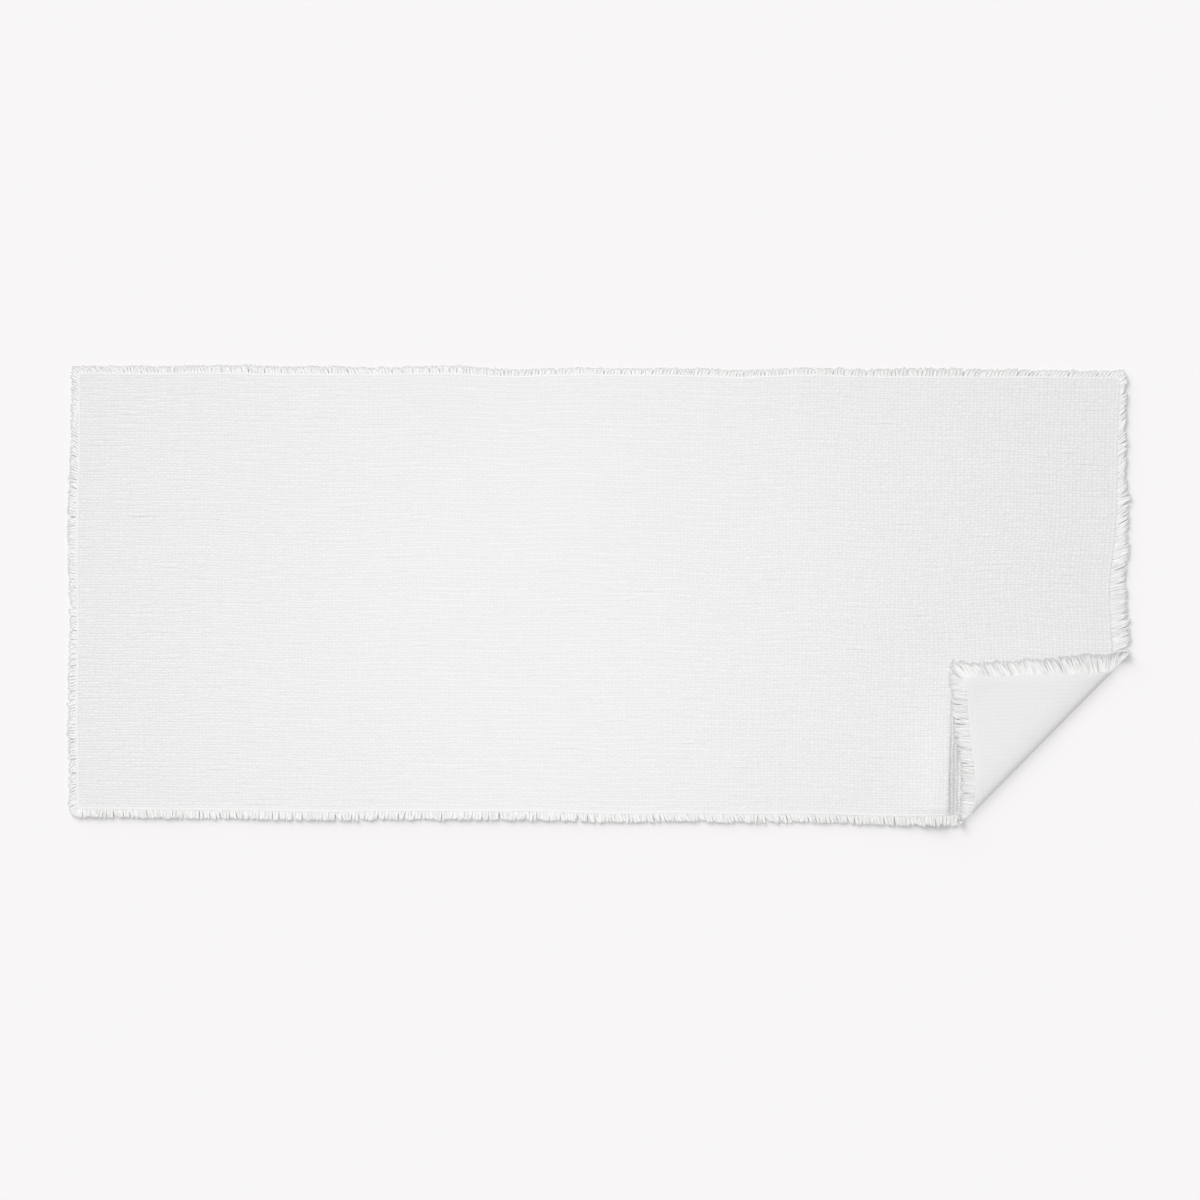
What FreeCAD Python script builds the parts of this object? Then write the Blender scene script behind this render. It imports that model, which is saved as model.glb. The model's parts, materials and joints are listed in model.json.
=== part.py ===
import FreeCAD, Part
import math
import os

# A thick woven cotton table runner with a frayed fringe on all four sides.
# One corner is folded over, so that it shows the cloth's reverse.
# Millimetres; x runs along the runner, y across it, z up from the table.

CLOTH_THICK = 2.6
FRINGE_THICK = 1.8

# Corners of the woven cloth, and of the fringe's tips, with the corner unfolded.
CLOTH_BACK_LEFT = (-446.9, 191.0)
CLOTH_BACK_RIGHT = (446.4, 187.0)
CLOTH_FRONT_RIGHT = (437.2, -191.2)
CLOTH_FRONT_LEFT = (-448.1, -183.8)
TIPS_BACK_LEFT = (-453.5, 196.8)
TIPS_BACK_RIGHT = (455.5, 193.0)
TIPS_FRONT_RIGHT = (447.5, -205.5)
TIPS_FRONT_LEFT = (-455.5, -191.5)
# The front fringe gets longer from here to the folded corner.
TIPS_FRONT_TURN = (330.0, -196.5)

# The fold: a roll of cloth whose axis makes this angle with the x axis.
CREASE_ANGLE = 45.4
# Distance from the origin to the line where the cloth leaves the table and starts to roll.
CREASE_OFFSET = 353.8
ROLL_INNER_RADIUS = 2.4
# The folded corner slopes down from the roll until its tip rests on the cloth.
CORNER_SLOPE = 3.15
# Cloth is continuous here; the two halves of the model are kept this far apart.
CORNER_CLEARANCE = 0.3
ROLL_SECTIONS = 13

# The line of stitching that stops the fringe from running back into the weave.
STITCH_INSET = 1.2
STITCH_CORNER_RADIUS = 4.0
THREAD_WIDTH = 0.6
THREAD_DEPTH = 0.35

ROLL_OUTER_RADIUS = ROLL_INNER_RADIUS + CLOTH_THICK
ROLL_ANGLE = 180 + CORNER_SLOPE
ROLL_LENGTH = math.radians(ROLL_ANGLE) * (ROLL_INNER_RADIUS + CLOTH_THICK / 2)
CREASE = math.radians(CREASE_ANGLE)
OUTWARD = FreeCAD.Vector(math.sin(CREASE), -math.cos(CREASE), 0)
ALONG = FreeCAD.Vector(math.cos(CREASE), math.sin(CREASE), 0)
UP = FreeCAD.Vector(0, 0, 1)
REACH = 1500.0


def point(outward, along, height):
    """A point given by its distance outward from the origin, along the crease, and up."""
    return OUTWARD * outward + ALONG * along + UP * height


def slab(corners, low, high):
    """The polygon through the corners, filled from height low to height high."""
    ring = [FreeCAD.Vector(x, y, low) for x, y in corners]
    ring.append(ring[0])
    return Part.Face(Part.makePolygon(ring)).extrude(UP * (high - low))


def strip_across(start, end):
    """A block that holds everything from start to end, measured outward from the origin."""
    ring = [
        point(start, -REACH, -REACH),
        point(end, -REACH, -REACH),
        point(end, REACH, -REACH),
        point(start, REACH, -REACH),
        point(start, -REACH, -REACH),
    ]
    return Part.Face(Part.makePolygon(ring)).extrude(UP * 2 * REACH)


def along_at(first, second, outward):
    """Where the line through two plan points crosses the line at this distance outward."""
    a = FreeCAD.Vector(first[0], first[1], 0)
    b = FreeCAD.Vector(second[0], second[1], 0)
    share = (outward - a.dot(OUTWARD)) / (b - a).dot(OUTWARD)
    return (a + (b - a) * share).dot(ALONG)


def rolled(low_edge, high_edge, thickness):
    """The part of a layer that turns over in the fold, between two of the layer's edges."""
    inner = ROLL_OUTER_RADIUS - thickness
    sections = []
    for step in range(ROLL_SECTIONS):
        share = step / (ROLL_SECTIONS - 1)
        turn = math.radians(ROLL_ANGLE) * share
        flat = CREASE_OFFSET + ROLL_LENGTH * share
        ends = [along_at(*low_edge, flat), along_at(*high_edge, flat)]
        ring = []
        for radius, end in [
            (ROLL_OUTER_RADIUS, ends[0]),
            (ROLL_OUTER_RADIUS, ends[1]),
            (inner, ends[1]),
            (inner, ends[0]),
            (ROLL_OUTER_RADIUS, ends[0]),
        ]:
            outward = CREASE_OFFSET + radius * math.sin(turn)
            ring.append(point(outward, end, ROLL_OUTER_RADIUS - radius * math.cos(turn)))
        sections.append(Part.makePolygon(ring))
    return Part.makeLoft(sections, True, True)


def hinge_point():
    """The point about which the corner turns, so that it unfolds flat onto the table."""
    turn = math.radians(ROLL_ANGLE)
    flat = (CREASE_OFFSET + ROLL_LENGTH, 0.0)
    top = (
        CREASE_OFFSET + ROLL_OUTER_RADIUS * math.sin(turn),
        ROLL_OUTER_RADIUS - ROLL_OUTER_RADIUS * math.cos(turn),
    )
    lean = 0.5 / math.tan(turn / 2)
    outward = (flat[0] + top[0]) / 2 - lean * (top[1] - flat[1])
    height = (flat[1] + top[1]) / 2 + lean * (top[0] - flat[0])
    return point(outward, 0, height)


def stitch_line(low, high):
    """One thread of the stitching, all round the unfolded cloth, its corners turned in a curve."""
    outline = slab(CLOTH_OUTLINE, low, high).Faces
    base = min(outline, key=lambda face: face.CenterOfMass.z)
    core = base.makeOffset2D(-STITCH_INSET - THREAD_WIDTH - STITCH_CORNER_RADIUS, 2)
    inside = core.makeOffset2D(STITCH_CORNER_RADIUS, 0)
    outside = core.makeOffset2D(STITCH_CORNER_RADIUS + THREAD_WIDTH, 0)
    height = UP * (high - low)
    return outside.extrude(height).cut(inside.extrude(height))


CLOTH_OUTLINE = [CLOTH_BACK_LEFT, CLOTH_BACK_RIGHT, CLOTH_FRONT_RIGHT, CLOTH_FRONT_LEFT]
BACK_FRINGE = [CLOTH_BACK_LEFT, CLOTH_BACK_RIGHT, TIPS_BACK_RIGHT, TIPS_BACK_LEFT]
LEFT_FRINGE = [CLOTH_FRONT_LEFT, CLOTH_BACK_LEFT, TIPS_BACK_LEFT, TIPS_FRONT_LEFT]
RIGHT_FRINGE = [CLOTH_BACK_RIGHT, CLOTH_FRONT_RIGHT, TIPS_FRONT_RIGHT, TIPS_BACK_RIGHT]
FRONT_FRINGE = [
    CLOTH_FRONT_LEFT,
    CLOTH_FRONT_RIGHT,
    TIPS_FRONT_RIGHT,
    TIPS_FRONT_TURN,
    TIPS_FRONT_LEFT,
]

needle_thread = stitch_line(CLOTH_THICK - THREAD_DEPTH, CLOTH_THICK)
bobbin_thread = stitch_line(0, THREAD_DEPTH)
cloth = slab(CLOTH_OUTLINE, 0, CLOTH_THICK).cut(needle_thread).cut(bobbin_thread)
front_fringe = slab(FRONT_FRINGE, 0, FRINGE_THICK)
right_fringe = slab(RIGHT_FRINGE, 0, FRINGE_THICK)

flat_side = strip_across(-REACH, CREASE_OFFSET)
corner_side = strip_across(CREASE_OFFSET + ROLL_LENGTH + CORNER_CLEARANCE, REACH)


def folded(shape):
    """What lies beyond the fold, turned over about the hinge to lie on the runner."""
    corner = shape.common(corner_side)
    corner.rotate(hinge_point(), ALONG, -ROLL_ANGLE)
    return corner


front_edge = (CLOTH_FRONT_LEFT, CLOTH_FRONT_RIGHT)
right_edge = (CLOTH_FRONT_RIGHT, CLOTH_BACK_RIGHT)
front_tips = (TIPS_FRONT_LEFT, TIPS_FRONT_TURN)
right_tips = (TIPS_FRONT_RIGHT, TIPS_BACK_RIGHT)

parts = {
    "main_cloth": cloth.common(flat_side),
    "fringe_back": slab(BACK_FRINGE, 0, FRINGE_THICK),
    "fringe_left": slab(LEFT_FRINGE, 0, FRINGE_THICK),
    "fringe_front": front_fringe.common(flat_side),
    "fringe_right": right_fringe.common(flat_side),
    "needle_thread": needle_thread.common(flat_side),
    "bobbin_thread": bobbin_thread.common(flat_side),
    "fold_cloth": rolled(front_edge, right_edge, CLOTH_THICK),
    "fold_fringe_front": rolled(front_tips, front_edge, FRINGE_THICK),
    "fold_fringe_right": rolled(right_edge, right_tips, FRINGE_THICK),
    "corner_cloth": folded(cloth),
    "corner_fringe_front": folded(front_fringe),
    "corner_fringe_right": folded(right_fringe),
    "corner_needle_thread": folded(needle_thread),
    "corner_bobbin_thread": folded(bobbin_thread),
}

os.makedirs("parts", exist_ok=True)
for name, shape in parts.items():
    shape.exportStep("parts/" + name + ".step")
    box = shape.BoundBox
    print(
        name,
        shape.ShapeType,
        len(shape.Solids),
        round(shape.Volume, 2),
        [round(v, 2) for v in (box.XMin, box.YMin, box.ZMin, box.XMax, box.YMax, box.ZMax)],
        shape.isValid(),
    )
fold_ends = [along_at(*edge, CREASE_OFFSET) for edge in (front_edge, right_edge)]
hinge = hinge_point() + ALONG * (sum(fold_ends) / 2)
print("hinge point", [round(v, 3) for v in hinge], "axis", [round(v, 5) for v in ALONG])
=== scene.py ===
import json
import math
from types import SimpleNamespace

import bpy
import mathutils
import numpy as np
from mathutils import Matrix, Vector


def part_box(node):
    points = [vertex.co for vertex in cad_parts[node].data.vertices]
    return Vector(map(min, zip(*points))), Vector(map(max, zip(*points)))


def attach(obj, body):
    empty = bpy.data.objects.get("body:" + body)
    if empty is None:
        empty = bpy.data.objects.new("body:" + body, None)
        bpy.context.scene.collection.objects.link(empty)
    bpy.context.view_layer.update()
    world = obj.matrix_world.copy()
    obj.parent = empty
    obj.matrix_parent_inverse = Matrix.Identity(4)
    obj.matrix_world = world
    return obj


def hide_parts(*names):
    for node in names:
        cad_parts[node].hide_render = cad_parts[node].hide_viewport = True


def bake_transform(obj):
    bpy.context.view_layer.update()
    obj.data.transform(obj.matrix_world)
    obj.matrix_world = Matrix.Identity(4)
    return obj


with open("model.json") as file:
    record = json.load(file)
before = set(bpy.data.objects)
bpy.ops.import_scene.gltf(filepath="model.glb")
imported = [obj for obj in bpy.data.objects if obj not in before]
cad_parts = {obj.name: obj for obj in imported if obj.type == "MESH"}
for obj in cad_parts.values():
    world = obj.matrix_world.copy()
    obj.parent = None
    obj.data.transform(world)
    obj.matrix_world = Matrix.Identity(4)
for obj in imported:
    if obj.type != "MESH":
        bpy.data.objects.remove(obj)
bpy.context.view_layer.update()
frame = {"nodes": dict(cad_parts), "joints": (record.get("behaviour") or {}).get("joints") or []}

# Metres, unless a name says otherwise. MM turns a size in millimetres into metres.
MM = 0.001
rng = np.random.default_rng(11)

# ---------------------------------------------------------------- driving dimensions

COLUMN_PITCH = 3.0 * MM
ROW_PITCH = 2.43 * MM
# Vertices for each column and for each row of the weave.
CELL_SAMPLES = 3
# How far the yarns stand out of the face and of the smoother reverse.
FACE_RELIEF = 0.37 * MM
REVERSE_RELIEF = 0.14 * MM
# How far the yarns wander from their straight lines.
YARN_WANDER = 0.4 * MM
CORNER_ROUND = 1.2 * MM
# The columns stand further apart towards the right end, by about this share.
COLUMN_SPREAD = 0.05
# The outermost yarns make a raised rim, which is level up to the first distance from the edge
# and has run out after the second one more.
RIM_LEVEL = 1.0 * MM
RIM_SLOPE = 2.0 * MM
RIM_ROUND = 0.4 * MM
# The relief is lowest at this share of the length, and rises towards both ends.
FLATTEST_AT = 0.45

PLY_RADIUS = 0.36 * MM
PLIES = 11
PLY_SIDES = 6
PLY_RINGS = 5
# Where a ply's rings are along it, from its root at 0 to its tip at 1.
RING_AT = np.linspace(0, 1, PLY_RINGS)
# How far a ply's root is hidden in the edge of the cloth.
ROOT_DEPTH = 1.6 * MM
# This many yarns at each end of an edge fan out round the cloth's corner, and have twice the plies.
CORNER_YARNS = 3
# How much the yarn ends vary: by a part that a whole tuft shares, and by a part that a yarn shares.
LENGTH_SPREADS = (0.03, 0.05)
LEAN_SPREADS = (0.06, 0.065)
CURL_SPREADS = (0.10, 0.08)
# How much each ply varies by itself.
PLY_LENGTH_SPREAD = 0.03
PLY_LEAN_SPREAD = 0.045
PLY_WIGGLE = 0.12 * MM
# Fringe of this length leans apart as given, longer fringe less and shorter fringe more.
USUAL_LENGTH = 7.5 * MM
# At the cloth's corners the yarns fan out to this angle in radians, and are longer by this share.
FAN_ANGLE = 0.78
FAN_LONGER = 0.25
FAN_WIDTH = 8 * MM
# How high above the table the lowest root in a yarn lies, and how much higher the highest.
LOWEST_ROOT = 0.4 * MM
ROOT_RISE = 2.0 * MM

THREAD_RADIUS = 0.32 * MM
THREAD_SIDES = 6
STITCH_LENGTH = 3.4 * MM
STITCH_SAMPLES = 8
STITCH_INSET = 1.2 * MM
STITCH_CORNER = 4.0 * MM

# The folded corner: distances past the crease in millimetres, and how far the cloth has turned
# there in degrees.
TURNS = [
    (0, 0),
    (3.3, 24),
    (7.6, 140),
    (11, 170),
    (17, 179),
    (28, 183.8),
    (58, 183.8),
    (80, 180),
    (160, 180),
]
# Where the piece that bends at the fold ends and the corner's own piece begins.
SEAM = 17 * MM

# The ridge beside the folded corner: its height at its far end, and how much it rises to the fold.
RIDGE_LOW = 0.6 * MM
RIDGE_RISE = 3.8 * MM

# Waves in the cloth's edges: size in millimetres, number along the edge, and phase in radians.
FRONT_WAVES = [(0.7, 3.1, 0.5), (0.4, 7.3, 0.0)]
BACK_WAVES = [(0.9, 5.2, 3.3), (0.6, 8.7, 1.0)]
LEFT_WAVES = [(0.8, 2.2, 2.0)]
RIGHT_WAVES = [(0.5, 3.2, 0.0)]

# ---------------------------------------------------------------- places, from the frame


def plan(x, y):
    """A point or direction seen from above."""
    return np.array([x, y], float)


def crossing(a, b, c, d):
    """Where the line through a and b meets the line through c and d."""
    share = np.linalg.solve(np.array([b - a, c - d]).T, c - a)[0]
    return a + (b - a) * share


box = {name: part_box(name) for name in frame["nodes"]}
THICK = box["main_cloth"][1].z
HALF = THICK / 2
front_left = plan(box["main_cloth"][0].x, box["fringe_front"][1].y)
back_left = plan(box["fringe_left"][1].x, box["main_cloth"][1].y)
back_right = plan(box["main_cloth"][1].x, box["fringe_back"][0].y)
fold_front = plan(box["fringe_front"][1].x, box["main_cloth"][0].y)
fold_right = plan(box["fringe_right"][0].x, box["fringe_right"][0].y)
front_right = crossing(front_left, fold_front, back_right, fold_right)

# How far up the runner the folded corner reaches, and where the cloth's front edge is.
CORNER_TOP = box["corner_cloth"][1].y
CLOTH_BOTTOM = box["main_cloth"][0].y

ALONG = plan(*frame["joints"][0]["axis"][:2])
OUTWARD = plan(ALONG[1], -ALONG[0])
CREASE = float(fold_front @ OUTWARD)

LENGTH = float(np.linalg.norm(front_right - front_left) + np.linalg.norm(back_right - back_left)) / 2
WIDTH = float(np.linalg.norm(back_left - front_left) + np.linalg.norm(back_right - front_right)) / 2
COLUMNS = round(LENGTH / COLUMN_PITCH)
ROWS = 2 * round(WIDTH / ROW_PITCH / 2)


def smooth(t):
    """From 0 at t = 0 to 1 at t = 1, level at both ends."""
    t = np.clip(t, 0, 1)
    return t * t * (3 - 2 * t)


def bump(x, centre, reach):
    """A smooth hump of height 1."""
    return np.exp(-(((x - centre) / reach) ** 2))


# ---------------------------------------------------------------- the cloth's shape

# The path of the cloth's middle past the crease, in small steps: outward, up, and turned.
path_step = 0.1 * MM
path_at = np.arange(1500) * path_step
path_turn = np.radians(np.interp(path_at / MM, *np.array(TURNS, float).T))
path_out = np.concatenate([[0], np.cumsum(np.cos(path_turn[:-1])) * path_step])
path_up = np.concatenate([[0], np.cumsum(np.sin(path_turn[:-1])) * path_step])


def waves(t, sizes):
    """Waves of these sizes along an edge, in millimetres."""
    return sum(size * np.sin(2 * np.pi * number * t + phase) for size, number, phase in sizes)


def edge_front(u):
    # The cloth is drawn in where the corner is folded.
    y = waves(u, FRONT_WAVES) * np.sin(np.pi * u)
    y = y + 5.0 * bump(u, 0.90, 0.045) + 1.0 * bump(u, 0.55, 0.2)
    return front_left + np.outer(u, front_right - front_left) + np.outer(y, [0, MM])


def edge_back(u):
    y = waves(u, BACK_WAVES) * np.sin(np.pi * u)
    return back_left + np.outer(u, back_right - back_left) + np.outer(y, [0, MM])


def edge_left(v):
    x = (waves(v, LEFT_WAVES) - 1.0 * bump(v, 0.45, 0.3)) * np.sin(np.pi * v)
    return front_left + np.outer(v, back_left - front_left) + np.outer(x, [MM, 0])


def edge_right(v):
    # The cloth draws in above the fold, and its fringe is longer there.
    x = waves(v, RIGHT_WAVES) * np.sin(np.pi * v) - 4.0 * bump(v, 0.50, 0.11)
    return front_right + np.outer(v, back_right - front_right) + np.outer(x, [MM, 0])


def rounded_in(u, v):
    """How far points move towards the middle, because the cloth's corners are a little rounded."""
    moved = 0
    for at_u in (0, 1):
        for at_v in (0, 1):
            near_u = 1 - smooth(np.abs(u - at_u) * LENGTH / (5 * MM))
            near_v = 1 - smooth(np.abs(v - at_v) * WIDTH / (5 * MM))
            inward = plan(1 - 2 * at_u, 1 - 2 * at_v) / math.sqrt(2)
            moved = moved + near_u * near_v * CORNER_ROUND * inward
    return moved


def flat(u, v):
    """The place of a point of the unfolded cloth; u and v run from 0 to 1 along it and across it."""
    front, back, left, right = edge_front(u), edge_back(u), edge_left(v), edge_right(v)
    u, v = u[:, None], v[:, None]
    corners = (1 - u) * (1 - v) * front_left + u * (1 - v) * front_right
    corners = corners + (1 - u) * v * back_left + u * v * back_right
    place = (1 - v) * front + v * back + (1 - u) * left + u * right - corners
    # Inside its edges, the weave sways from side to side.
    inside = np.sin(np.pi * u) * np.sin(np.pi * v)
    sway = 1.3 * np.sin(9.1 * v + 4.0 * u + 0.6) + 0.8 * np.sin(21 * v - 7.0 * u)
    sag = 1.0 * np.sin(13.0 * u + 3.0 * v) + 0.5 * np.sin(31 * u + 5.0 * v + 2.0)
    return place + rounded_in(u, v) + inside * np.concatenate([sway, sag], axis=1) * MM


def ridge(x, y):
    """The height of the ridge beside the folded corner's left edge."""
    down = np.clip((CORNER_TOP - y) / (CORNER_TOP - CLOTH_BOTTOM), 0, 1)
    crest = box["corner_fringe_front"][0].x + (1.5 - 3.4 * down) * MM
    height = RIDGE_LOW + RIDGE_RISE * smooth(down / 0.75)
    height = height * smooth((CORNER_TOP + 12 * MM - y) / (16 * MM))
    height = height * (1 - 0.4 * smooth((CLOTH_BOTTOM + 8 * MM - y) / (10 * MM)))
    # It rises gently from the left, and falls steeply under the corner.
    across = x - crest
    fall = np.clip((across + 0.5 * MM) / (9.5 * MM), 0, 1)
    return height * np.where(across < 0, bump(across, 0, 26 * MM), (1 - fall) * (1 - 0.3 * fall))


def lift(x, y):
    """How far the runner stands off the table where it isn't quite flat."""
    past = x * OUTWARD[0] + y * OUTWARD[1] - CREASE
    # The cloth swells a little above the folded corner, and is slightly wavy all over.
    swell = 0.9 * MM * bump(y, CORNER_TOP + 12 * MM, 14 * MM) * bump(x, 380 * MM, 60 * MM)
    wave = np.sin(19 * x + 3) * np.sin(23 * y + 1) + 0.6 * np.sin(37 * x + 11 * y)
    calm = 0.28 * MM * (wave + 1.6)
    return (ridge(x, y) + swell + calm) * smooth(-past / (8 * MM))


def folded(place, height):
    """Where points of the unfolded cloth lie once the corner is folded over."""
    outward, along = place @ OUTWARD, place @ ALONG
    past = outward - CREASE
    turn = np.interp(past, path_at, path_turn)
    out = np.where(past < 0, outward, CREASE + np.interp(past, path_at, path_out))
    offset = height - HALF
    out = out - offset * np.sin(turn)
    up = HALF + np.interp(past, path_at, path_up) + offset * np.cos(turn)
    xy = np.outer(out, OUTWARD) + np.outer(along, ALONG)
    up = up + np.where(past < 0, lift(place[:, 0], place[:, 1]), 0)
    return np.column_stack([xy, up])


def spread(t):
    """Columns stand further apart towards the right end."""
    return t * (1 - COLUMN_SPREAD) + COLUMN_SPREAD * t**4


# ---------------------------------------------------------------- materials


def material(name, colour, roughness, build):
    """A soft white finish; build adds its fibres to the shader, and for the woven cotton also the
    painted shade of its hollows.
    """
    made = bpy.data.materials.new(name)
    made.use_nodes = True
    tree = made.node_tree
    shader = tree.nodes["Principled BSDF"]
    shader.inputs["Base Color"].default_value = (*colour, 1)
    shader.inputs["Roughness"].default_value = roughness
    shader.inputs["Specular IOR Level"].default_value = 0.15
    shader.inputs["Sheen Weight"].default_value = 0.15
    shader.inputs["Sheen Roughness"].default_value = 0.5
    build(tree, shader)
    return made


def node(tree, kind, **inputs):
    """A new node with these values in its inputs."""
    made = tree.nodes.new(kind)
    for name, value in inputs.items():
        made.inputs[name.replace("_", " ")].default_value = value
    return made


def fibres(tree, shader, coordinates, stretch, strength, scale, tones):
    """Fine fibres along the yarn: a small bump and a slight change of tone."""
    mapping = node(tree, "ShaderNodeMapping", Scale=stretch)
    noise = node(tree, "ShaderNodeTexNoise", Scale=scale, Detail=3.0, Roughness=0.6)
    raised = node(tree, "ShaderNodeBump", Strength=strength, Distance=0.2 * MM)
    ramp = tree.nodes.new("ShaderNodeValToRGB")
    for element, tone in zip(ramp.color_ramp.elements, tones):
        element.color = (*tone, 1)
    ramp.color_ramp.elements[0].position = 0.3
    ramp.color_ramp.elements[1].position = 0.7
    tree.links.new(coordinates, mapping.inputs["Vector"])
    tree.links.new(mapping.outputs["Vector"], noise.inputs["Vector"])
    tree.links.new(noise.outputs["Fac"], raised.inputs["Height"])
    tree.links.new(raised.outputs["Normal"], shader.inputs["Normal"])
    tree.links.new(noise.outputs["Fac"], ramp.inputs["Fac"])
    return ramp.outputs["Color"]


COTTON = (0.86, 0.86, 0.86)
COTTON_SHADE = (0.80, 0.80, 0.80)
# Painted shade: the darker grey put into the hollows between the yarns, where shade falls.
COTTON_PAINTED_SHADE = (0.66, 0.66, 0.66)
COTTON_THREAD = (0.88, 0.88, 0.875)
LOOSE = (0.90, 0.90, 0.895)
LOOSE_SHADE = (0.84, 0.84, 0.835)


def attribute(tree, name):
    """A value that the mesh carries at each of its points."""
    made = tree.nodes.new("ShaderNodeAttribute")
    made.attribute_name = name
    return made


def woven(tree, shader):
    tone = fibres(
        tree,
        shader,
        attribute(tree, "weave").outputs["Vector"],
        stretch=(1.5, 3, 1),
        strength=0.6,
        scale=4.0,
        tones=(COTTON_SHADE, COTTON),
    )
    # Painted shade: the colour darkens by the mesh's painted shade value, in the hollows between the
    # yarns.
    mix = tree.nodes.new("ShaderNodeMix")
    mix.data_type = "RGBA"
    mix.inputs["B"].default_value = (*COTTON_PAINTED_SHADE, 1)
    tree.links.new(attribute(tree, "painted_shade").outputs["Fac"], mix.inputs["Factor"])
    tree.links.new(tone, mix.inputs["A"])
    tree.links.new(mix.outputs["Result"], shader.inputs["Base Color"])


def even_fibres(tree, shader, scale, tones):
    """Fibres that are no longer one way than another, for thin yarn."""
    place = tree.nodes.new("ShaderNodeTexCoord").outputs["Object"]
    tone = fibres(tree, shader, place, stretch=(1, 1, 1), strength=0.3, scale=scale, tones=tones)
    tree.links.new(tone, shader.inputs["Base Color"])


def frayed(tree, shader):
    even_fibres(tree, shader, scale=1500.0, tones=(LOOSE_SHADE, LOOSE))


def twisted(tree, shader):
    even_fibres(tree, shader, scale=2500.0, tones=(COTTON, COTTON_THREAD))


woven_cotton = material("woven_cotton", COTTON, 0.95, woven)
loose_cotton = material("loose_cotton", LOOSE, 0.95, frayed)
sewing_thread = material("sewing_thread", COTTON, 0.8, twisted)

# ---------------------------------------------------------------- meshes


def mesh_object(name, points, quads, finish):
    """A smooth mesh of four-sided faces, made of only the points that they use, in order."""
    used, faces = np.unique(quads, return_inverse=True)
    faces = faces.reshape(-1, 4)
    mesh = bpy.data.meshes.new(name)
    mesh.vertices.add(len(used))
    mesh.vertices.foreach_set("co", points[used].astype(np.float32).ravel())
    mesh.loops.add(faces.size)
    mesh.loops.foreach_set("vertex_index", faces.astype(np.int32).ravel())
    mesh.polygons.add(len(faces))
    mesh.polygons.foreach_set("loop_start", np.arange(len(faces), dtype=np.int32) * 4)
    mesh.polygons.foreach_set("use_smooth", np.ones(len(faces), bool))
    mesh.update(calc_edges=True)
    mesh.materials.append(finish)
    made = bpy.data.objects.new(name, mesh)
    bpy.context.scene.collection.objects.link(made)
    return made


def tubes(centres, sideways, radii, sides):
    """Points and faces of closed tubes; centres is an array of tube by ring by x, y, z."""
    along = np.gradient(centres, axis=1)
    first = np.cross(along, sideways)
    first = first / np.linalg.norm(first, axis=2, keepdims=True)
    second = np.cross(along, first)
    second = second / np.linalg.norm(second, axis=2, keepdims=True)
    angle = np.arange(sides) * 2 * np.pi / sides
    ring = first[:, :, None] * np.cos(angle)[:, None] + second[:, :, None] * np.sin(angle)[:, None]
    points = centres[:, :, None] + ring * radii[:, :, None, None]
    count, length = radii.shape
    index = np.arange(count * length * sides).reshape(count, length, sides)
    after = np.roll(index, -1, axis=2)
    walls = np.stack([index[:, :-1], index[:, 1:], after[:, 1:], after[:, :-1]], axis=-1)
    # Each end is closed by a row of four-sided faces.
    caps = []
    for low in range(1, sides // 2):
        corners = [low - 1, low, sides - 1 - low, (sides - low) % sides]
        start = [index[:, 0, c] for c in corners]
        end = [index[:, -1, c] for c in reversed(corners)]
        caps += [np.stack(start, axis=-1), np.stack(end, axis=-1)]
    quads = np.concatenate([walls.reshape(-1, 4), *caps])
    return points.reshape(-1, 3), quads


# ---------------------------------------------------------------- the woven cloth

# Each point of the mesh has its place in the weave, counted in columns and in rows.
across_columns = np.arange(COLUMNS * CELL_SAMPLES + 1) / CELL_SAMPLES
across_rows = np.arange(ROWS * CELL_SAMPLES + 1) / CELL_SAMPLES
column, row = [grid.ravel() for grid in np.meshgrid(across_columns, across_rows)]
grid_u, grid_v = spread(column / COLUMNS), row / ROWS
grid_place = flat(grid_u, grid_v)
column_of = np.minimum(column.astype(int), COLUMNS - 1)
row_of = np.minimum(row.astype(int), ROWS - 1)
from_edge = np.minimum.reduce(
    [grid_u * LENGTH, (1 - grid_u) * LENGTH, grid_v * WIDTH, (1 - grid_v) * WIDTH]
)


def yarn_noise(along_columns, along_rows):
    """Random values from yarn to yarn, smoothed over this many columns and rows; about 1 in size."""
    values = rng.normal(0, 1, (COLUMNS + 1, ROWS + 1))
    for axis, reach in enumerate([along_columns, along_rows]):
        weights = np.hanning(reach + 2)[1:-1]
        values = np.apply_along_axis(np.convolve, axis, values, weights, mode="same")
    return values / values.std()


def between(values):
    """Values given at every column and row, read smoothly at each point of the mesh."""
    right, up = column - column_of, row - row_of
    low = values[column_of, row_of] * (1 - right) + values[column_of + 1, row_of] * right
    high = values[column_of, row_of + 1] * (1 - right) + values[column_of + 1, row_of + 1] * right
    return low * (1 - up) + high * up


def yarn_wander():
    """How far each point moves aside because the yarns aren't straight."""
    inner = smooth(from_edge / (6 * MM))
    wander = np.column_stack([between(yarn_noise(1, 9)), between(yarn_noise(9, 1))])
    return wander * (YARN_WANDER * inner[:, None])


before_crease = grid_place @ OUTWARD < CREASE
grid_place = grid_place + yarn_wander()
thick_thin = 1 + 0.045 * yarn_noise(3, 1) + 0.035 * yarn_noise(1, 3) + 0.07 * yarn_noise(1, 1)
bead_size = thick_thin[column_of, row_of]
round_row = np.abs(np.sin(np.pi * row)) ** 0.8
row_gap = 1 - round_row
column_gap = 1 - np.abs(np.sin(np.pi * column)) ** 0.6
off_flattest = np.abs(grid_u - FLATTEST_AT)
towards_ends = np.clip(0.78 + 1.1 * off_flattest, 0, 1.3)
# Along the front and at the right end, the fringe carries the surface on, so the rim is less round.
carried_on = np.maximum(smooth((grid_u - 0.985) / 0.01), smooth((0.03 - grid_v) / 0.02))


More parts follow.
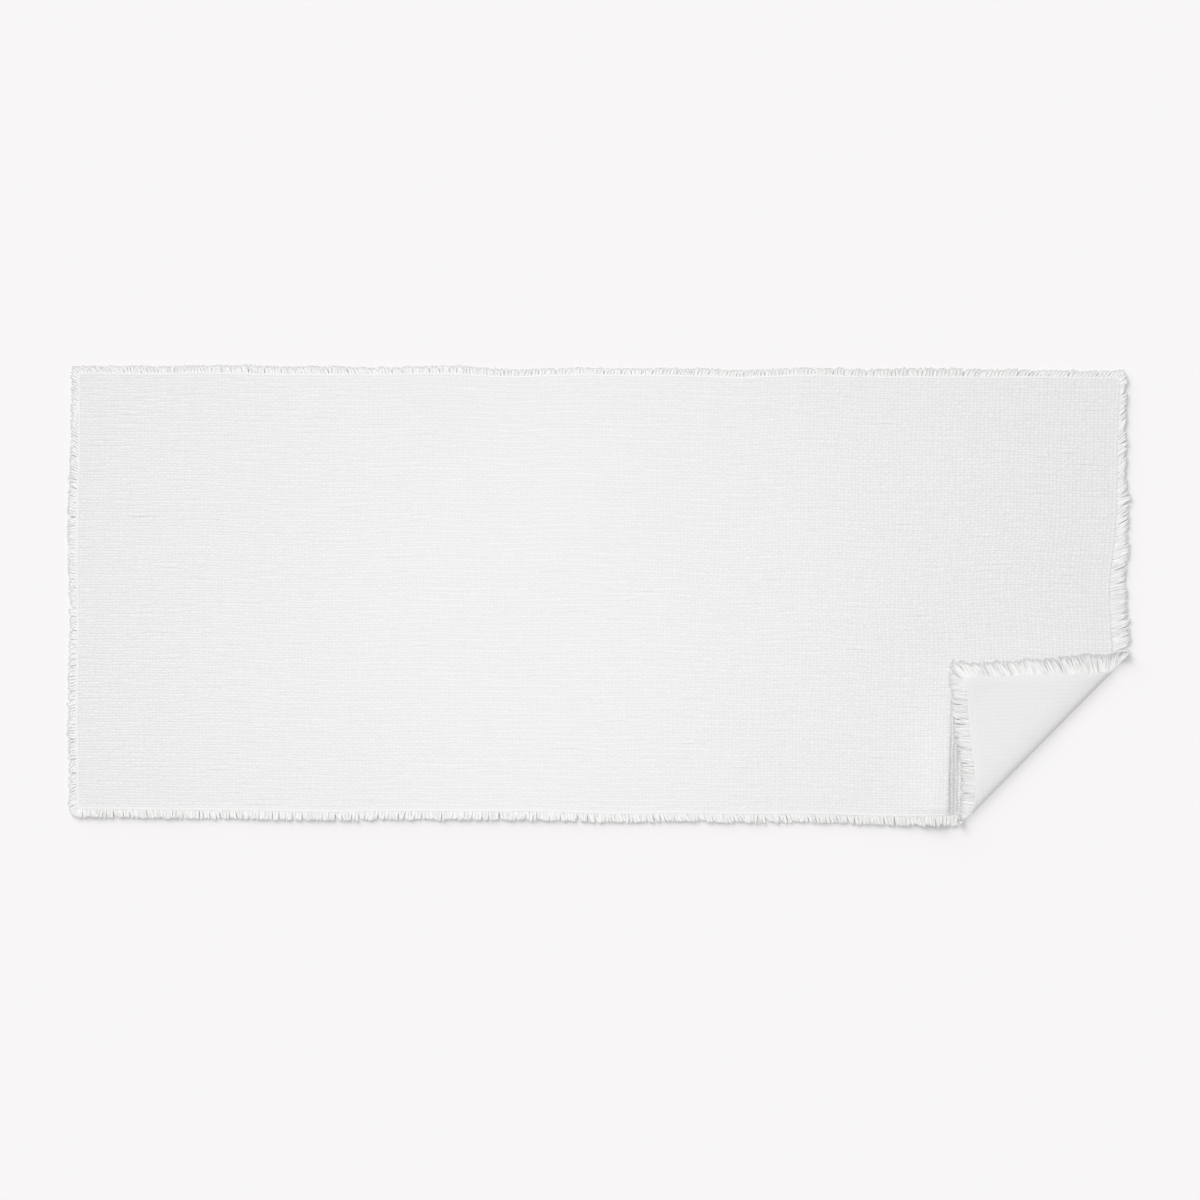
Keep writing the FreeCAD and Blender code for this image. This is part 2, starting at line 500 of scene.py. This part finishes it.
def face_beads():
    """How high the yarns of the face stand, as a share of the relief."""
    # Every second row stands higher, most of all in the middle.
    tall_row = np.where(row_of % 2 == 0, 1.0, 0.76 + 0.5 * off_flattest)
    # The rows stand out at the left, and the small pits between the yarns at the right.
    bead = 1 - (0.60 - 0.22 * grid_u) * row_gap - (0.16 + 0.10 * grid_u) * column_gap
    bead = bead - (0.20 + 0.30 * grid_u) * row_gap * column_gap
    # The yarns pass over and under each other in turn.
    over = np.where((column_of + row_of) % 2 == 0, 1, -1)
    return np.clip(bead * (1 + 0.14 * over) * tall_row * bead_size, 0, 1.25)


def opened_weave():
    """How much the weave opens up where the cloth bends down beside the folded corner."""
    step_right = plan(1 * MM, 0)
    drop = lift(*(grid_place - step_right).T) - lift(*(grid_place + step_right).T)
    # The weave opens in the mesh, and the same value also darkens the colour there as painted shade.
    return np.clip(drop / (0.5 * MM), 0, 1) * before_crease * column_gap


def reverse_ribs():
    """How far the ribs of the reverse stand out, as a share of its relief."""
    rib = np.abs(np.sin(np.pi * column)) ** 0.8
    ribs = (0.45 * rib + 0.2 * rib * round_row + 0.15 * round_row) * bead_size
    # The last yarns along each edge lie loose and show as fine lines.
    lines = 0.5 + 0.5 * np.cos(2 * np.pi * (from_edge - 0.6 * MM) / (2.6 * MM))
    lines = lines * (1 - smooth((from_edge - 5 * MM) / (3 * MM)))
    return np.maximum(ribs, 1.4 * lines)


def outer_rim():
    """1 where the outermost yarns stand a little proud and hide the weave, and 0 inside them."""
    rim = 1 - smooth((from_edge - RIM_LEVEL) / RIM_SLOPE)
    # At the right end the weave goes on to the edge.
    return rim * (1 - 0.75 * smooth((grid_u - 0.96) / 0.03))


beads, ribs, rim, opened = face_beads(), reverse_ribs(), outer_rim(), opened_weave()
rounding = RIM_ROUND * (1 - smooth(from_edge / (0.9 * MM))) * (1 - 0.8 * carried_on)
raised = towards_ends * (beads * (1 - 0.7 * rim) + 0.95 * rim - 0.7)
face_height = THICK + FACE_RELIEF * raised - rounding - 0.5 * MM * opened
reverse_height = REVERSE_RELIEF * np.clip(1.5 - ribs, 0, 1.5) + rounding

# The mesh has one layer of points for the face, and then one for the reverse.
cloth_points = np.concatenate([folded(grid_place, face_height), folded(grid_place, reverse_height)])
BELOW = len(grid_place)
# The reverse has fibres of its own, from another layer of the noise. Its colour is a little darker all
# over, and has painted shade between its ribs.
face_weave = np.column_stack([column, row, np.zeros(len(column))])
weave_values = np.concatenate([face_weave, face_weave + [0, 0, 7]])
# Painted shade on the face: darker in the hollows between the beads, though not on the rim, and where
# the weave opens beside the folded corner.
face_painted_shade = 0.6 * towards_ends * (1 - np.clip(beads, 0, 1)) * (1 - rim) + 0.5 * opened
painted_shade_values = np.concatenate([face_painted_shade, 0.18 + 0.25 * np.clip(1 - ribs, 0, 1)])

index = np.arange(len(column)).reshape(len(across_rows), len(across_columns))
cells = np.stack([index[:-1, :-1], index[:-1, 1:], index[1:, 1:], index[1:, :-1]], axis=-1)
cells = cells.reshape(-1, 4)
cell_past = grid_place[cells].mean(axis=1) @ OUTWARD - CREASE


def cloth_piece(name, wanted, node_name):
    """One piece of the cloth: its cells on both sides, and a wall all round them."""
    mine = cells[wanted]
    # The border runs along the edges that only one cell has.
    edges = np.concatenate([mine[:, [i, (i + 1) % 4]] for i in range(4)])
    key = np.sort(edges, axis=1) @ [len(column), 1]
    _, first, uses = np.unique(key, return_index=True, return_counts=True)
    border = edges[first[uses == 1]]
    wall = np.stack([border[:, 1], border[:, 0], border[:, 0] + BELOW, border[:, 1] + BELOW], axis=-1)
    quads = np.concatenate([mine, mine[:, ::-1] + BELOW, wall])
    made = mesh_object(name, cloth_points, quads, woven_cotton)
    used = np.unique(quads)
    weave = made.data.attributes.new("weave", "FLOAT_VECTOR", "POINT")
    weave.data.foreach_set("vector", weave_values[used].astype(np.float32).ravel())
    # The painted shade that the material darkens the colour by.
    painted_shade = made.data.attributes.new("painted_shade", "FLOAT", "POINT")
    painted_shade.data.foreach_set("value", painted_shade_values[used].astype(np.float32))
    # Inner seams, and the edges that the fringe carries on, are sharp, so that the surface shades
    # as if it went on.
    rounded = ((from_edge < 0.1 * MM) & (carried_on < 0.5))[border].any(axis=1)
    seam = np.zeros(2 * len(column), bool)
    seam[border[~rounded].ravel()] = True
    seam[border[~rounded].ravel() + BELOW] = True
    ends = np.empty(2 * len(made.data.edges), np.int32)
    made.data.edges.foreach_get("vertices", ends)
    ends = used[ends.reshape(-1, 2)]
    # Edges that run through the cloth from one side to the other aren't part of a seam.
    on_seam = seam[ends].all(axis=1) & ((ends[:, 0] < BELOW) == (ends[:, 1] < BELOW))
    sharp = made.data.attributes.new("sharp_edge", "BOOLEAN", "EDGE")
    sharp.data.foreach_set("value", on_seam)
    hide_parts(node_name)
    return made


panel_cells = cell_past < 0
corner_cells = cell_past >= SEAM
fold_cells = ~panel_cells & ~corner_cells

cloth_panel = cloth_piece("cloth_panel", panel_cells, "main_cloth")
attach(cloth_panel, "panel")
cloth_corner = cloth_piece("cloth_corner", corner_cells, "corner_cloth")
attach(cloth_corner, "corner")
cloth_fold = cloth_piece("cloth_fold", fold_cells, "fold_cloth")


def bend_at_fold(piece):
    """Bakes the piece's place into its points; it rides on no body."""
    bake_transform(piece)


bend_at_fold(cloth_fold)

# ---------------------------------------------------------------- the frayed fringe


def tufts(count, fewest, most):
    """Yarn ends gathered in tufts: which tuft each is in, and where that tuft's middle is."""
    which, middle = np.zeros(count, int), np.zeros(count)
    start, tuft = 0, 0
    while start < count:
        stop = min(count, start + int(rng.integers(fewest, most + 1)))
        which[start:stop] = tuft
        middle[start:stop] = (start + stop - 1) / 2
        start, tuft = stop, tuft + 1
    return which, middle


def plies_along(count, tuft_size, apart_at):
    """Every ply of one fringe, with its place in its yarn, its tuft and the edge."""
    plies_in = np.full(count, PLIES)
    plies_in[:CORNER_YARNS] = plies_in[-CORNER_YARNS:] = 2 * PLIES
    yarn = np.repeat(np.arange(count), plies_in)
    number = np.arange(len(yarn)) - np.repeat(np.cumsum(plies_in) - plies_in, plies_in)
    tuft_of, middle_of = tufts(count, *tuft_size)
    at = (yarn + (number + rng.uniform(0.1, 0.9, len(yarn))) / plies_in[yarn]) / count
    layer = (0.618 * number + 0.37 * yarn) % 1
    upper = smooth(2 * layer - 0.4)
    return SimpleNamespace(
        count=count,
        # Its place along the edge, from 0 to 1, and how far the yarns part there.
        at=at,
        apart=apart_at(at),
        yarn=yarn,
        tuft=tuft_of[yarn],
        # How far the middles of its yarn and of its tuft are from it, counted in yarns.
        to_yarn=yarn + 0.5 - at * count,
        to_tuft=(middle_of - np.arange(count))[yarn],
        # How high it lies in its yarn, from 0 to 1, and how far to the side, from -1 to 1.
        layer=layer,
        beside=2 * (number + 0.5) / plies_in[yarn] - 1,
        # The lower plies move less than the upper ones.
        upper=upper,
        follow=0.55 + 0.45 * upper,
    )


def shared(plies, middle, spreads):
    """Random values for each ply: one that its whole tuft shares, and one that its yarn shares."""
    by_tuft = rng.normal(middle, spreads[0], plies.tuft[-1] + 1)[plies.tuft]
    by_yarn = rng.normal(middle, spreads[1], plies.count)[plies.yarn]
    return by_tuft, by_yarn


def ply_lengths(plies, length_at, past):
    """How far each ply reaches from the cloth's edge."""
    by_tuft, by_yarn = shared(plies, 1, LENGTH_SPREADS)
    by_ply = rng.normal(1, PLY_LENGTH_SPREAD, len(by_yarn))
    long = length_at(plies.at) * by_tuft * by_yarn * by_ply
    # The plies that lie uppermost, once the corner is folded, reach a little further.
    return long * (1 + 0.08 * (plies.layer - 0.5) * np.where(past < SEAM / 2, 1, -1))


def fanned_out(plies, long, angle_at, edge_length):
    """The angle at which each ply leaves the edge, and its length to suit."""
    # Short fringe leans apart more than long fringe.
    apart = np.sqrt(USUAL_LENGTH / long) * plies.apart
    loose = sum(shared(plies, 0, LEAN_SPREADS)) * plies.follow
    angle = angle_at(plies.at) + apart * (loose + rng.normal(0, PLY_LEAN_SPREAD, len(long)))
    # Round the cloth's corners the yarns fan out evenly, and reach further.
    to_start, to_end = plies.at * edge_length, (1 - plies.at) * edge_length
    fan = smooth(to_end / FAN_WIDTH) - smooth(to_start / FAN_WIDTH)
    angle = angle * smooth(np.minimum(to_start, to_end) / (9 * MM)) - FAN_ANGLE * fan
    return angle, long * (1 + FAN_LONGER * np.abs(fan))


def drift(plies, long, free, edge_length):
    """How far each ring of each ply lies to the side of the straight line it starts on."""
    curl = sum(shared(plies, 0, CURL_SPREADS)) * plies.follow
    # The upper plies of each yarn keep together, and the yarns of each tuft lean towards its middle.
    gather = (0.05 + 0.5 * plies.upper * plies.apart) * plies.to_yarn
    gather = (gather + 0.07 * plies.follow * plies.to_tuft) * edge_length / plies.count
    wiggle = np.sin(rng.uniform(0, 2 * np.pi, len(long))[:, None] + 4.5 * RING_AT)
    aside = curl[:, None] * free**2 / long[:, None] + np.outer(gather, RING_AT**0.7)
    return aside + PLY_WIGGLE * wiggle * RING_AT


def laid_flat(plies, root, away, sideways, length_at, angle_at, edge_length, past):
    """The line of each ply on the unfolded runner, seen from above."""
    long = ply_lengths(plies, length_at, past)
    angle, long = fanned_out(plies, long, angle_at, edge_length)
    # Inside the cloth a ply runs straight, and from its edge on it leans.
    out = np.outer(long + ROOT_DEPTH, RING_AT) - ROOT_DEPTH
    free = np.clip(out, 0, None)
    aside = drift(plies, long, free, edge_length)
    cos, sin = np.cos(angle)[:, None, None], np.sin(angle)[:, None, None]
    line = root[:, None] + np.minimum(out, 0)[..., None] * away
    line = line + free[..., None] * (cos * away + sin * sideways)
    return line + aside[..., None] * (cos * sideways - sin * away)


def laid_folded(plies, line):
    """The ring centres of each ply once the corner is folded over, and which way its upper side is."""
    flat_place = line.reshape(-1, 2)
    past = (flat_place @ OUTWARD - CREASE).reshape(-1, PLY_RINGS)
    # Each yarn is round: its upper plies lie in its middle.
    rise = plies.layer * (1 - 0.4 * plies.beside**2)
    root_height = (LOWEST_ROOT + ROOT_RISE * rise)[:, None]
    # The ends droop: towards the table, or on the folded corner towards the cloth under them.
    turned = smooth((past - 0.3 * SEAM) / (0.5 * SEAM))
    droop = (1 - turned) * -0.12 * root_height + turned * 0.6 * MM
    flat_height = (root_height + droop * RING_AT**1.5).ravel()
    centres = folded(flat_place, flat_height)
    above = folded(flat_place, flat_height + 0.1 * MM)
    # On the folded corner they lie on the cloth, and elsewhere on the table.
    under = THICK + 0.3 * MM + lift(centres[:, 0], centres[:, 1])
    under = np.where(past.ravel() > SEAM / 2, under, 0)
    centres[:, 2] = np.maximum(centres[:, 2], under + PLY_RADIUS)
    return centres.reshape(-1, PLY_RINGS, 3), (above - centres).reshape(-1, PLY_RINGS, 3)


def split_at_fold(past):
    """Which tubes belong to the flat part, the corner and the fold, by how far past the crease."""
    return {"panel": past < 0, "corner": past >= SEAM, "fold": (past >= 0) & (past < SEAM)}


def follow_body(piece, region):
    """The pieces at the fold have their place baked in, and the others ride on the body that their
    region is named after.
    """
    if region == "fold":
        bend_at_fold(piece)
    else:
        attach(piece, region)


def fringe(name, edge, away, count, length_at, angle_at, apart_at, tuft_size, node_names):
    """The loose yarn ends along one edge of the cloth.

    edge gives the cloth's edge, and away is the direction off it. length_at, angle_at and apart_at
    give the fringe's length, its lean in radians and how far its yarns part from each other.
    """
    plies = plies_along(count, tuft_size, apart_at)
    root = edge(plies.at)
    past = root @ OUTWARD - CREASE
    span = (edge(np.array([1.0])) - edge(np.array([0.0])))[0]
    sideways = plan(-away[1], away[0])
    sideways = sideways * np.sign(span @ sideways)
    edge_length = np.linalg.norm(span)
    line = laid_flat(plies, root, away, sideways, length_at, angle_at, edge_length, past)
    centres, normal = laid_folded(plies, line)
    taper = np.interp(RING_AT, [0, 0.7, 1], [1.0, 0.95, 0.7])
    radii = PLY_RADIUS * rng.uniform(0.8, 1.1, len(root))[:, None] * taper
    regions = split_at_fold(past)
    for region, node_name in node_names.items():
        chosen = regions[region]
        points, quads = tubes(centres[chosen], normal[chosen], radii[chosen], PLY_SIDES)
        piece = mesh_object(f"{name}_{region}", points, quads, loose_cotton)
        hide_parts(node_name)
        follow_body(piece, region)


def always(value):
    """The same value all along an edge."""
    return lambda t: np.full(len(t), value)


# Each edge's own fringe. t is 0 to 1 along the edge, from the left or from the front.


def back_length(t):
    return (5.9 + 0.5 * np.sin(9 * t) + 0.4 * np.sin(31 * t + 1)) * MM


def left_length(t):
    return (6.6 + 0.4 * np.sin(11 * t)) * MM


def front_length(t):
    past_fold = 3.5 * smooth((t - 0.84) / 0.05) + 3.3 * smooth((t - 0.91) / 0.09)
    return (6.8 + 1.0 * t + past_fold) * MM


def right_length(t):
    return (13.4 + 2.0 * smooth(t / 0.3) - 8.2 * smooth((t - 0.4) / 0.6)) * MM


fringe(
    "yarn_ends_back",
    edge=lambda t: flat(spread(t), np.ones(len(t))),
    away=plan(0, 1),
    count=COLUMNS,
    length_at=back_length,
    angle_at=lambda t: 1.1 * (t - 0.45) + 0.15 * np.sin(14 * t),
    apart_at=always(1.1),
    tuft_size=(2, 6),
    node_names={"panel": "fringe_back"},
)
fringe(
    "yarn_ends_left",
    edge=lambda t: flat(np.zeros(len(t)), t),
    away=plan(-1, 0),
    count=ROWS,
    length_at=left_length,
    angle_at=lambda t: 1.0 * (t - 0.45) + 0.15 * np.sin(17 * t),
    apart_at=always(1.2),
    tuft_size=(2, 5),
    node_names={"panel": "fringe_left"},
)
fringe(
    "yarn_ends_front",
    edge=lambda t: flat(spread(t), np.zeros(len(t))),
    away=plan(0, -1),
    count=COLUMNS,
    length_at=front_length,
    angle_at=lambda t: 0.25 * smooth((t - 0.3) / 0.4) + 0.12 * np.sin(12 * t),
    apart_at=lambda t: 0.6 - 0.3 * smooth((t - 0.85) / 0.04),
    tuft_size=(1, 3),
    node_names={
        "panel": "fringe_front",
        "fold": "fold_fringe_front",
        "corner": "corner_fringe_front",
    },
)
fringe(
    "yarn_ends_right",
    edge=lambda t: flat(np.ones(len(t)), t),
    away=plan(1, 0),
    count=ROWS,
    length_at=right_length,
    angle_at=lambda t: -0.45 + 0.7 * smooth((t - 0.26) / 0.1) + 0.4 * smooth((t - 0.5) / 0.3),
    apart_at=lambda t: 0.6 - 0.25 * smooth((t - 0.28) / 0.1),
    tuft_size=(2, 6),
    node_names={
        "panel": "fringe_right",
        "fold": "fold_fringe_right",
        "corner": "corner_fringe_right",
    },
)

# ---------------------------------------------------------------- the stitching


def stitch_route():
    """The points of each stitch, as distances along the cloth and across it."""
    low = STITCH_INSET + STITCH_CORNER
    right, top = LENGTH - low, WIDTH - low
    points = []
    for x, y, start in [(right, low, -90), (right, top, 0), (low, top, 90), (low, low, 180)]:
        for angle in np.radians(np.linspace(start, start + 90, 9)):
            points.append((x + STITCH_CORNER * math.cos(angle), y + STITCH_CORNER * math.sin(angle)))
    points = np.array(points + points[:1])
    gone = np.concatenate([[0], np.cumsum(np.linalg.norm(np.diff(points, axis=0), axis=1))])
    stitches = round(gone[-1] / STITCH_LENGTH)
    at = np.linspace(0, gone[-1], stitches * STITCH_SAMPLES + 1)
    route = np.column_stack([np.interp(at, gone, points[:, i]) for i in range(2)])
    first = np.arange(stitches)[:, None] * STITCH_SAMPLES
    return route[first + np.arange(STITCH_SAMPLES + 1)]


def stitching(name, middle, hole, node_names):
    """One thread: a stitch from each hole to the next, with its middle and its ends this high."""
    route = stitch_route()
    stitches, samples, _ = route.shape
    q = np.linspace(0, 1, samples)
    arch = np.sin(np.pi * q) ** 0.5
    height = hole + (middle - hole) * arch + rng.normal(0, 0.03, (stitches, 1)) * MM * arch
    place = flat(route[..., 0].ravel() / LENGTH, route[..., 1].ravel() / WIDTH)
    flat_height = np.broadcast_to(height, (stitches, samples)).ravel()
    centres = folded(place, flat_height)
    normal = folded(place, flat_height + 0.1 * MM) - centres
    centres = centres.reshape(stitches, samples, 3)
    normal = normal.reshape(stitches, samples, 3)
    radii = np.full((stitches, samples), THREAD_RADIUS)
    past = (place @ OUTWARD - CREASE).reshape(stitches, samples).mean(axis=1)
    for region, chosen in split_at_fold(past).items():
        points, quads = tubes(centres[chosen], normal[chosen], radii[chosen], THREAD_SIDES)
        piece = mesh_object(f"{name}_{region}", points, quads, sewing_thread)
        if region in node_names:
            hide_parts(node_names[region])
        follow_body(piece, region)


stitching(
    "needle_stitches",
    middle=THICK - 0.18 * MM,
    hole=THICK - 0.8 * MM,
    node_names={"panel": "needle_thread", "corner": "corner_needle_thread"},
)
stitching(
    "bobbin_stitches",
    middle=0.24 * MM,
    hole=0.9 * MM,
    node_names={"panel": "bobbin_thread", "corner": "corner_bobbin_thread"},
)

# ---------------------------------------------------------------- table, light and camera

TABLE_COLOUR = (0.95, 0.935, 0.935)
# The table goes on past the horizon of every view, and lies just under the cloth.
TABLE_SIZE = 60
TABLE_GAP = 0.2 * MM
# Which way the soft light travels across the table, from the back and left.
LIGHT_ACROSS = plan(0.64, -0.77)


def table_paint():
    made = bpy.data.materials.new("table_paint")
    made.use_nodes = True
    shader = made.node_tree.nodes["Principled BSDF"]
    shader.inputs["Base Color"].default_value = (*TABLE_COLOUR, 1)
    shader.inputs["Roughness"].default_value = 0.9
    shader.inputs["Specular IOR Level"].default_value = 0.0
    return made


bpy.ops.mesh.primitive_plane_add(size=TABLE_SIZE, location=(0, 0, -TABLE_GAP))
floor = bpy.context.object
floor.name = "table_top"
floor.data.materials.append(table_paint())

world = bpy.data.worlds.new("studio")
bpy.context.scene.world = world
world.use_nodes = True
background = world.node_tree.nodes["Background"]
background.inputs["Color"].default_value = (1, 1, 1, 1)
background.inputs["Strength"].default_value = 0.42


def collection(name, members):
    """A collection for lamps to light or be blocked by; it isn't part of the scene's own tree."""
    made = bpy.data.collections.new(name)
    for member in members:
        made.objects.link(member)
    return made


pieces = [piece for piece in bpy.context.scene.objects if piece.type == "MESH" and piece != floor]
loose_ends = collection("loose_ends", [piece for piece in pieces if piece.name.startswith("yarn_ends")])
cloth = collection("cloth", [piece for piece in pieces if not piece.name.startswith("yarn_ends")])
flat_part = collection("flat_part", [piece for piece in pieces if piece.name.endswith("_panel")])
runner = collection("runner", pieces)
table = collection("table", [floor])


def lamp(name, kind, energy, lit):
    """A lamp that lights one collection, so that the table, cloth and fringe each keep their tone."""
    light = bpy.data.lights.new(name, kind)
    light.energy = energy
    placed = bpy.data.objects.new(name, light)
    bpy.context.scene.collection.objects.link(placed)
    placed.light_linking.receiver_collection = lit
    return light, placed


def sunlight(name, energy, spread_angle, lean, lit):
    """Soft light that leans this many degrees away from straight down."""
    light, placed = lamp(name, "SUN", energy, lit)
    light.angle = math.radians(spread_angle)
    across, down = math.sin(math.radians(lean)), math.cos(math.radians(lean))
    towards = mathutils.Vector((*LIGHT_ACROSS * across, -down))
    placed.rotation_euler = towards.to_track_quat("-Z", "Y").to_euler()
    return placed


sunlight("key", energy=1.4, spread_angle=45, lean=57, lit=cloth)
sunlight("top", energy=0.86, spread_angle=50, lean=5, lit=cloth)
# The yarn ends lie lower than the cloth, so their light comes a little from the other side.
sunlight("on_loose_ends", energy=1.86, spread_angle=50, lean=-10, lit=loose_ends)
sunlight("top_on_table", energy=0.50, spread_angle=40, lean=2, lit=table)
sunlight("key_on_table", energy=0.75, spread_angle=45, lean=50, lit=table)
# The folded corner throws no shadow in the lowest light: in the photo, it hardly shows.
low_on_table = sunlight("low_on_table", energy=2.0, spread_angle=45, lean=66, lit=table)
low_on_table.light_linking.blocker_collection = flat_part
# A near lamp makes the middle of the runner brighter than its ends.
overhead_light, overhead = lamp("overhead", "AREA", energy=1.33, lit=runner)
overhead_light.shape = "DISK"
overhead_light.size = 0.5
overhead.location = (-0.10, -0.02, 0.8)

# The camera looks straight down, and its picture is this wide on the table.
FRAME_WIDTH = 1.030
camera_data = bpy.data.cameras.new("camera")
camera_data.lens = 100
camera_data.sensor_width = 36
camera = bpy.data.objects.new("camera", camera_data)
bpy.context.scene.collection.objects.link(camera)
camera_height = FRAME_WIDTH * camera_data.lens / camera_data.sensor_width
camera.location = (0.9 * MM, -4.3 * MM, camera_height)
bpy.context.scene.camera = camera
bpy.context.scene.view_settings.view_transform = "Standard"
